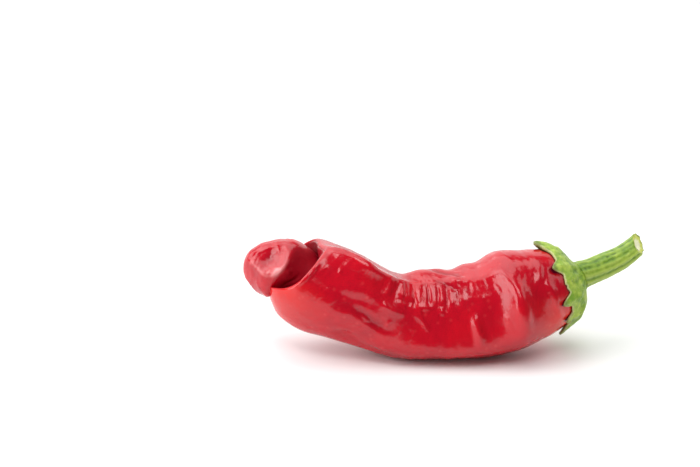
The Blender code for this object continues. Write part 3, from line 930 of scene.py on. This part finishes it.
def skin_paint(name, roughness, mirror):
    """Paint for the pod. mirror is how strongly it reflects, 0.5 for a waxy skin."""
    tree, shader, bump = new_paint(name, pod, roughness, SKIN_BUMP)
    shader.inputs["IOR"].default_value = 1.52
    shader.inputs["Specular IOR Level"].default_value = mirror
    colour = mottle(tree, SKIN_RED, SKIN_LIGHTER, 70.0, 0.42, 0.62)
    # painted light from the floor on the low skin
    colour = blend(tree, kept(tree, "floor_light"), colour, SKIN_FLOOR_LIGHT)
    fine = place_group(tree, grain, Grains_per_metre=420.0, Pores_per_metre=260.0, Pore_depth=0.25)
    flecks = spread(tree, fine["Pores"], 0.0, 1.0, 0.0, 0.2)
    colour = blend(tree, flecks, colour, SKIN_PALE)
    # painted shade in the creases and inside the fold
    colour = tint(tree, colour, SKIN_SHADE_MAROON, kept(tree, "crease_shade"), 0.6)
    colour = tint(tree, colour, SKIN_SHADE_MAROON, kept(tree, "fold"), 0.6)
    # painted shadow under and just past the calyx's rim
    colour = tint(tree, colour, SKIN_RIM_SHADOW, kept(tree, "cap_shadow"), 0.85)
    # painted highlight along the sharp ridges
    highlighted = spread(tree, kept(tree, "ridge_highlight"), 0.1, 1.0, 0.0, 0.75)
    colour = blend(tree, highlighted, colour, SKIN_HIGHLIGHT)
    finish_paint(tree, shader, bump, colour, fine["Height"])
    print("paint:", name)


skin_paint("pepper_skin", roughness=0.16, mirror=0.5)
skin_paint("fold_skin", roughness=0.6, mirror=0.12)

# %% Which faces have the dull paint
DULL_FROM = 0.6  # of the value that is 1 deep in the fold

paint_index = np.zeros(len(pod.data.polygons), int)
paint_index[SIDES:-SIDES] = (in_fold[1:-2] > DULL_FROM).ravel()  # without the fans at the ends
pod.data.polygons.foreach_set("material_index", paint_index)
print(paint_index.sum(), "faces of dull skin in the fold")

# %% [markdown]
# ## Calyx
#
# The calyx is the green cap that the flower left. It hugs the shoulder and ends
# in small uneven teeth, whose tips curl off the skin as they dry. It could be cut
# from a disc and shrunk onto the pod. Here it follows the pod's own lines
# instead, so that it fits everywhere.

# %% Calyx rim
SINUS_PLACE = 3.95  # place along the pod of the rim between two teeth
TOOTH_SHARPNESS = 1.6
RIM_WAVES, FINE_RIM_WAVES = 9, 23.4  # a larger one is finer
RIM_UNEVEN, RIM_FINE_UNEVEN = 0.08, 0.05  # in places
TEETH = [  # turn of the tip, reach past the rim in places, half width in degrees, curl in mm
    (101, 0.9, 15, 1.5),
    (86, 0.55, 9, 0.7),
    (46, 0.85, 13, 0.5),
    (24, 0.15, 10, 0.2),
    (-4, 0.85, 11, 0.6),
    (-35, 0.7, 10, 0.7),
    (-61, 0.95, 14, 1.0),
    (-98, 0.8, 20, 1.0),
    (-134, 0.7, 21, 0.8),
    (-177, 0.9, 21, 1.2),
    (141, 0.8, 19, 0.9),
]


def calyx_rim(turn):
    """The place along the slices where the calyx ends at each turn, and its curl there."""
    reach = np.zeros(turn.shape)
    curl = np.zeros(turn.shape)
    for degrees, long, half, lift in TEETH:
        rise = np.clip(1 - np.abs(from_turn(turn, degrees)) / math.radians(half), 0, 1)
        reach = np.maximum(reach, long * np.sin(rise * math.pi / 2) ** TOOTH_SHARPNESS)
        curl = np.maximum(curl, lift * rise)
    uneven = RIM_UNEVEN * ring_noise(RIM_WAVES, turn, 23)
    uneven += RIM_FINE_UNEVEN * ring_noise(FINE_RIM_WAVES, turn, 24)
    return SINUS_PLACE + reach + uneven, curl


print(len(TEETH), "teeth")

# %% Where the calyx lies and where the stem stands on it
STEM_FOOT = (49.3, 10.6, 25.5)  # lengths are in mm, pitch and yaw in degrees
FOOT_PITCH = 19
FOOT_YAW = 22
FOOT_RADIUS = 5.7
SMALL_STEP = 0.02  # of a place or a radian, to find which way the skin faces


def net(rings, sides):
    """Rows from 0 to 1 and turns once round, as two arrays of one shape."""
    turns = np.linspace(0, 2 * math.pi, sides, endpoint=False)
    return np.meshgrid(np.linspace(0, 1, rings), turns, indexing="ij")


def skin_above(place, turn, height):
    """Points over the pod's skin by the given height."""
    here = pod_points(place, turn)
    before = pod_points(np.maximum(place - SMALL_STEP, 0), turn)
    along = pod_points(place + SMALL_STEP, turn) - before
    round_it = pod_points(place, turn + SMALL_STEP) - pod_points(place, turn - SMALL_STEP)
    out = np.cross(round_it, along)
    out /= np.linalg.norm(out, axis=-1, keepdims=True)
    return here + np.asarray(height)[..., None] * out


def foot_ring(turn, radius, lift):
    """A ring about the stem's foot, that far above it."""
    front, up, along = headings(np.full(turn.shape, FOOT_PITCH), np.full(turn.shape, FOOT_YAW), 1)
    ring = np.asarray(STEM_FOOT) + lift * along
    return ring + radius * (np.cos(turn)[..., None] * front + np.sin(turn)[..., None] * up)


def middle_of(ring):
    """The middle of a ring, as a ring of points that all lie there."""
    return ring.mean(axis=1, keepdims=True).repeat(ring.shape[1], 1)


print("the stem's foot is", 2 * FOOT_RADIUS, "mm wide")

# %% Thickness of the calyx
CALYX_THICK = 1.15  # all in mm
CALYX_LEAST = 0.4
TOOTH_THINNER = 0.2
VEIN_HEIGHT = 0.3
CRUMPLE_HEIGHT = 0.3
FINE_CRUMPLE_HEIGHT = 0.1
VEIN_WIDTH = 0.08  # radians
BULGES = [  # height in mm, place and reach from the middle out, turn in degrees, reach in radians
    (1.7, 0.5, 0.2, -40, 0.8),
    (1.1, 0.75, 0.22, 98, 0.5),
]


def calyx_thickness(out, turn, place, tooth):
    """Thickness and relief in mm, where out runs from 0 in the middle to 1 at the rim."""
    veins = sum(np.exp(-((from_turn(turn, row[0]) / VEIN_WIDTH) ** 2)) for row in TEETH)
    crumple = turned_noise(place * 2.2, 6, turn, 21)
    fine_crumple = turned_noise(place * 7, 9, turn, 22)
    thick = CALYX_THICK * (1 - 0.3 * out**4) - TOOTH_THINNER * tooth
    for high, at, reach, degrees, breadth in BULGES:
        along = np.exp(-(((out - at) / reach) ** 2))
        thick += high * along * np.exp(-((from_turn(turn, degrees) / breadth) ** 2))
    relief = VEIN_HEIGHT * veins * bump_at(out, 0.75, 0.25)
    relief += CRUMPLE_HEIGHT * crumple + FINE_CRUMPLE_HEIGHT * fine_crumple
    return np.maximum(thick + relief * bump_at(out, 0.5, 0.5), CALYX_LEAST), relief


# %% Calyx points
CALYX_RINGS = 110
CALYX_SIDES = 420
CALYX_START = 0.06  # the innermost ring, as a share of the way to the rim
CALYX_GAP = 0.1  # mm
FOOT_SINK = 0.2  # mm that the middle lies under the stem's foot
FOOT_EDGE = 0.7  # mm
HUG_FROM = 0.62  # share of the way to the rim, from where the outside follows the pod


def calyx_points():
    """Rings of the inside and the outside, with a few values for the paint."""
    out, turn = net(CALYX_RINGS, CALYX_SIDES)
    out = CALYX_START + (1 - CALYX_START) * out
    rim, curl = calyx_rim(turn)
    place = out * rim
    tooth = from_to(place, SINUS_PLACE - 0.5, SINUS_PLACE + 0.7)
    lift = CALYX_GAP + curl * tooth**1.7
    thick, relief = calyx_thickness(out, turn, place, tooth)
    under = skin_above(place, turn, lift)
    over = skin_above(place, turn, lift + thick)
    hug = from_to(out, 0, HUG_FROM)[..., None] ** 1.5
    over = hug * over + (1 - hug) * foot_ring(turn, FOOT_RADIUS, -FOOT_SINK)
    foot = foot_ring(turn[:1], FOOT_RADIUS - FOOT_EDGE, -FOOT_SINK)
    edge = np.concatenate([out[:1], out, out[::-1], out[:2]])
    rise = np.concatenate([0 * relief[:1], 0 * relief, relief[::-1], 0 * relief[:2]])
    tooth = np.concatenate([0 * tooth[:1], tooth, tooth[::-1], 0 * tooth[:2]])
    points = np.concatenate([middle_of(under[:1]), under, over[::-1], foot, middle_of(foot)])
    return points, edge, rise, tooth


# %% The calyx's mesh
CALYX_FULL_CREASE = 0.35  # mm deep

points, edge, rise, tooth = calyx_points()
calyx = new_piece("calyx_cap", "calyx", points)
store(calyx, "edge", edge)
# painted shade in the calyx's crumpled hollows
store(calyx, "crease_shade", np.clip(-rise / CALYX_FULL_CREASE, 0, 1))
store(calyx, "tooth", tooth)
# painted shadow on the pod under and just past the calyx's rim
past_rim = PLACE - calyx_rim(TURN)[0]
store(pod, "cap_shadow", from_to(past_rim, 0.16, 0.02))

# %% [markdown]
# ## Green of the calyx
#
# Fresh calyx tissue is mottled: yellow-green over a darker green, with dark
# specks, a pale dry rim and teeth that are drying dark. Its crumpled hollows get
# a painted dark shade. The mottle, that shade and the specks, and the grain are
# the shared groups again, with finer values than on the pod.

# %% Calyx colour
LEAF_GREEN = (0.17, 0.33, 0.014, 1)
LEAF_YELLOW = (0.45, 0.59, 0.07, 1)
# used for the painted shade in the crumpled hollows and for the dark specks
LEAF_DARK = (0.07, 0.16, 0.012, 1)
DRY_RIM = (0.62, 0.62, 0.3, 1)
DRY_TIP = (0.12, 0.16, 0.02, 1)

GREEN_ROUGHNESS = 0.42
LEAF_BUMP = 0.3  # mm

tree, shader, bump = new_paint("calyx_green", calyx, GREEN_ROUGHNESS, LEAF_BUMP)
colour = mottle(tree, LEAF_GREEN, LEAF_YELLOW, 330.0, 0.38, 0.66)
fine = place_group(tree, grain, Grains_per_metre=1500.0, Pores_per_metre=420.0, Pore_depth=0.5)
# painted shade in the crumpled hollows
colour = tint(tree, colour, LEAF_DARK, kept(tree, "crease_shade"), 0.85)
colour = tint(tree, colour, LEAF_DARK, fine["Pores"], 0.6)
colour = blend(tree, spread(tree, kept(tree, "edge"), 0.97, 1.0, 0.0, 0.7), colour, DRY_RIM)
colour = blend(tree, spread(tree, kept(tree, "tooth"), 0.7, 1.0, 0.0, 0.7), colour, DRY_TIP)
finish_paint(tree, shader, bump, colour, fine["Height"])
print("paint:", calyx.active_material.name)

# %% [markdown]
# ## Stem
#
# The stem is a bent stalk with soft ribs that wind a little as they run up it.
# It ends in a slanting cut, where the pale pith shows inside a green ring. It is
# grown through slices as the pod is, and its ribs are part of the mesh, since
# they show in its outline.

# %% Stem slices and ribs
STEM_SLICES = [  # centre in mm, pitch and yaw in degrees, radius in mm
    (*STEM_FOOT, FOOT_PITCH, FOOT_YAW, 5.3),
    (50.6, 11.1, 25.9, 18, 22, 5.1),
    (53.4, 12.1, 26.6, 15, 21, 4.7),
    (57.0, 13.4, 27.7, 14, 20, 4.7),
    (60.6, 14.7, 28.9, 19, 19, 4.5),
    (63.9, 15.7, 30.2, 27, 18, 4.3),
    (67.2, 16.7, 32.1, 34, 17, 4.0),
    (69.8, 17.4, 34.1, 39, 16, 3.8),
    (70.7, 17.7, 35.0, 41, 16, 3.6),
]
STEM_RIBS = [  # turn at the foot in degrees, height in mm
    (104, 0.2), (78, 0.22), (52, 0.2), (26, 0.3), (4, 0.45), (-26, 0.5), (-50, 0.35), (-85, 0.3),
    (-122, 0.4), (-160, 0.3), (162, 0.35), (130, 0.25),
]
RIB_WIDTH = 0.17  # radians
RIB_BASE = 0.16  # mm that the grooves lie under the slices' radius
STEM_WIND = 0.35  # radians that the ribs wind from foot to end
print(len(STEM_SLICES), "slices and", len(STEM_RIBS), "ribs")

# %% Stem shape
STEM_RINGS = 170
STEM_SIDES = 200
STEM_UNDER = 0.15  # mm taken off the slices' radius, which the ribs give back
ROUGH_HEIGHT = 0.1  # mm
FLARE_FROM = 0.93  # of the way up, where the end starts to flare
CUT_SLOPE = 0.15  # rise of the cut towards the top, as a share of the radius
CUT_TOWARDS_FRONT = 0.65  # fall of the cut towards the front
FULL_RIB = 0.2  # mm high, where a rib has its full colour


def stem_skin():
    """Rings of the stalk, which way each point's slice heads, and the ribs' height."""
    along, turn = net(STEM_RINGS, STEM_SIDES)
    row = smooth_through(STEM_SLICES, along * (len(STEM_SLICES) - 1))
    front, up, heading = headings(row[..., 3], row[..., 4], 1)
    wound = turn + STEM_WIND * along
    ribs = sum(high * np.exp(-((from_turn(wound, turned) / RIB_WIDTH) ** 2)) for turned, high in STEM_RIBS)
    rough = turned_noise(along * 26, 5, turn, 31)
    rib_height = ribs - RIB_BASE + ROUGH_HEIGHT * rough
    flare = 0.4 * from_to(along, FLARE_FROM, 1) ** 2
    radius = row[..., 5] - STEM_UNDER + rib_height + flare * (0.3 + 0.25 * rough)
    points = row[..., :3] + (radius * np.cos(turn))[..., None] * front
    points = points + (radius * np.sin(turn))[..., None] * up
    slope = CUT_SLOPE * np.sin(turn) - CUT_TOWARDS_FRONT * np.cos(turn)
    slant = slope * along**5 * radius + 0.15 * rough * along**8
    return points + slant[..., None] * heading, heading, rib_height


# %% The cut, and all of the stem
PITH_RINGS = (0.94, 0.86, 0.74, 0.6, 0.45, 0.3, 0.15)  # shares of the cut's radius
PITH_DEPTH = 0.9  # mm that the middle of the cut is sunk
TORN_HEIGHT = 0.3  # mm that the cut's edge is uneven
TORN_WAVES = 3


def stem_points():
    """Rings of the whole stem, with its pith, grooves and ribs for the paint."""
    points, heading, rib_height = stem_skin()
    turn = net(1, STEM_SIDES)[1]
    end, heading = points[-1:], heading[-1:]
    middle = middle_of(end)
    torn = TORN_HEIGHT * ring_noise(TORN_WAVES, turn, 32)
    cut = []
    for share in PITH_RINGS:
        sunk = PITH_DEPTH * (1 - share) + torn * share
        cut.append(middle + share * (end - middle) - sunk[..., None] * heading)
    rings = [middle_of(points[:1]), points, *cut, middle - PITH_DEPTH * heading]

    ring, skin_rings = np.zeros((1, STEM_SIDES)), np.zeros(rib_height.shape)
    on_cut = [ring] * (len(PITH_RINGS) + 1)
    pith = [ring, skin_rings] + [ring + 1 - share for share in PITH_RINGS] + [ring + 1]
    # painted shade in the grooves, and the ribs' lighter colour, both by their height
    groove_shade = [ring, np.clip(-rib_height / FULL_RIB, 0, 1)] + on_cut
    rib = [ring, np.clip(rib_height / FULL_RIB, 0, 1)] + on_cut
    return [np.concatenate(part) for part in (rings, pith, groove_shade, rib)]


points, pith, groove_shade, rib = stem_points()
stem = new_piece("stem_stalk", "stem", points)
store(stem, "pith", pith)
store(stem, "crease_shade", groove_shade)
store(stem, "rib", rib)

# %% [markdown]
# ## Green of the stem
#
# The ribs are a lighter yellow-green, the higher they stand, and the grooves
# between them get a painted shade of nearly bottle green. The cut shows a pale
# pith in a yellow-green ring, with a few dark torn spots.

# %% Stem colour
STALK_GREEN = (0.15, 0.29, 0.012, 1)
STALK_YELLOW = (0.34, 0.48, 0.045, 1)
STALK_RIB = (0.44, 0.56, 0.09, 1)
# painted shade in the grooves
STALK_GROOVE_SHADE = (0.05, 0.12, 0.01, 1)
CUT_RING = (0.66, 0.72, 0.12, 1)
PITH = (0.95, 0.94, 0.62, 1)
TORN = (0.03, 0.05, 0.01, 1)

STALK_BUMP = 0.2  # mm

tree, shader, bump = new_paint("stem_green", stem, GREEN_ROUGHNESS, STALK_BUMP)
colour = mottle(tree, STALK_GREEN, STALK_YELLOW, 220.0, 0.38, 0.66)
fine = place_group(tree, grain, Grains_per_metre=1300.0, Pores_per_metre=500.0, Pore_depth=0.3)
colour = tint(tree, colour, STALK_RIB, kept(tree, "rib"), 0.75)
# painted shade in the grooves
colour = tint(tree, colour, STALK_GROOVE_SHADE, kept(tree, "crease_shade"), 0.95)
colour = blend(tree, spread(tree, kept(tree, "pith"), 0.02, 0.12), colour, CUT_RING)
colour = blend(tree, spread(tree, kept(tree, "pith"), 0.35, 0.55), colour, PITH)
torn_spots = place_group(tree, patches, Patches_per_metre=300.0, Least=0.54, Most=0.6)["Mask"]
on_the_cut = spread(tree, kept(tree, "pith"), 0.02, 0.1)
colour = blend(tree, reckon(tree, "MULTIPLY", torn_spots, on_the_cut), colour, TORN)
finish_paint(tree, shader, bump, colour, fine["Height"])
print("paint:", stem.active_material.name)
